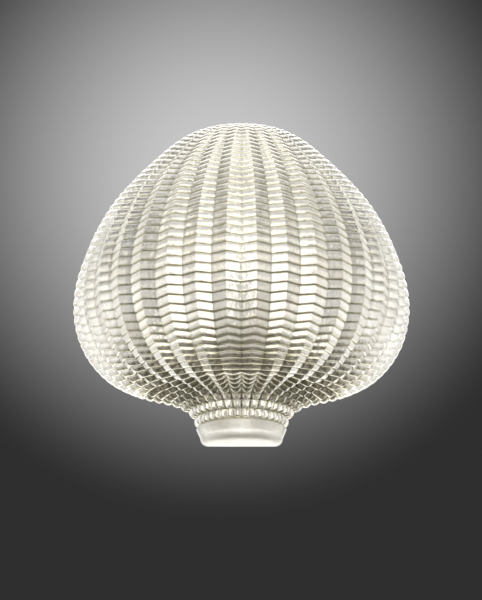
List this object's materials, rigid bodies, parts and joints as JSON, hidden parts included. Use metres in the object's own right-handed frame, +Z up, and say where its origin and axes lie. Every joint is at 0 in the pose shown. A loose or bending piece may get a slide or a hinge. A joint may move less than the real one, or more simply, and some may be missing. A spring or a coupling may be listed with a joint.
{
  "type": "shell wall sconce",
  "caption": "Wall sconce with a half-round ribbed glass shell shade that lifts off a white steel back plate, over one upright bulb.",
  "frame": {"origin": "midway between the two fixing slots, on the wall", "axes": "+Z up, +Y into the wall, the lamp stands out towards -Y, +X to the right seen from the room"},
  "size_m": [0.28, 0.14, 0.2758],
  "materials": {
    "lustre_glass": "pressed glass with a pale champagne lustre, ribbed outside",
    "nickel": "nickel plated, polished",
    "white_paint": "white powder coat, satin",
    "zinc_steel": "zinc plated",
    "silicone": "translucent white silicone",
    "brown_rubber": "brown rubber",
    "black_rubber": "black rubber",
    "white_plastic": "moulded, slightly glossy",
    "steatite": "unglazed steatite",
    "brass": "bright rolled brass",
    "opal_glass": "opal glass, lit from inside",
    "black_glass": "black moulded glass",
    "solder": "tinned solder",
    "block_plastic": "natural polyamide",
    "brown_sleeve": "silicone sleeve",
    "blue_sleeve": "silicone sleeve",
    "green_sleeve": "silicone sleeve, striped green and yellow"
  },
  "bodies": {
    "back": {"back_plate": "white_paint", "shelf_nut": "zinc_steel", "shelf_pad": "silicone", "tongue_buffer": "brown_rubber", "lampholder_bracket": "white_paint", "bracket_rivets": "zinc_steel", "nipple": "zinc_steel", "nipple_washer": "zinc_steel", "nipple_nut": "zinc_steel", "holder_cap": "white_plastic", "holder_sleeve": "white_plastic", "holder_core": "steatite", "screw_shell": "brass", "centre_contact": "brass", "holder_terminals": "brass", "holder_terminal_screws": "zinc_steel", "terminal_block": "block_plastic", "terminal_inserts": "brass", "terminal_screws": "zinc_steel", "terminal_block_screw": "zinc_steel", "earth_lug": "zinc_steel", "earth_washer": "zinc_steel", "earth_screw": "zinc_steel", "cable_grommet": "black_rubber", "wire_live": "brown_sleeve", "wire_neutral": "blue_sleeve", "wire_earth": "green_sleeve"},
    "shade": {"glass_shell": "lustre_glass"},
    "clamp_washer": {"clamp_washer": "nickel"},
    "clamp_screw": {"clamp_screw": "nickel"},
    "bulb": {"bulb_globe": "opal_glass", "bulb_cap": "nickel", "bulb_insulator": "black_glass", "bulb_contact": "solder"}
  },
  "joints": [
    {"name": "shell_pull", "type": "slide", "parent": "back", "child": "shade", "axis": [0, -1, 0], "range_m": [0, 0.16]},
    {"name": "clamp_lift", "type": "slide", "parent": "back", "child": "clamp_washer", "axis": [0, 0, 1], "range_m": [0, 0.0028]},
    {"name": "clamp_turn", "type": "hinge", "parent": "clamp_washer", "child": "clamp_screw", "pos_m": [0, -0.015, 0.152], "axis": [0, 0, 1], "range_deg": [0, 1440]},
    {"name": "bulb_lift", "type": "slide", "parent": "back", "child": "bulb", "axis": [0, 0, 1], "range_m": [0, 0.03]}
  ],
  "couplings": [
    {"joint": "clamp_turn", "follows": "clamp_lift", "rad_per_m": 8975.9}
  ]
}
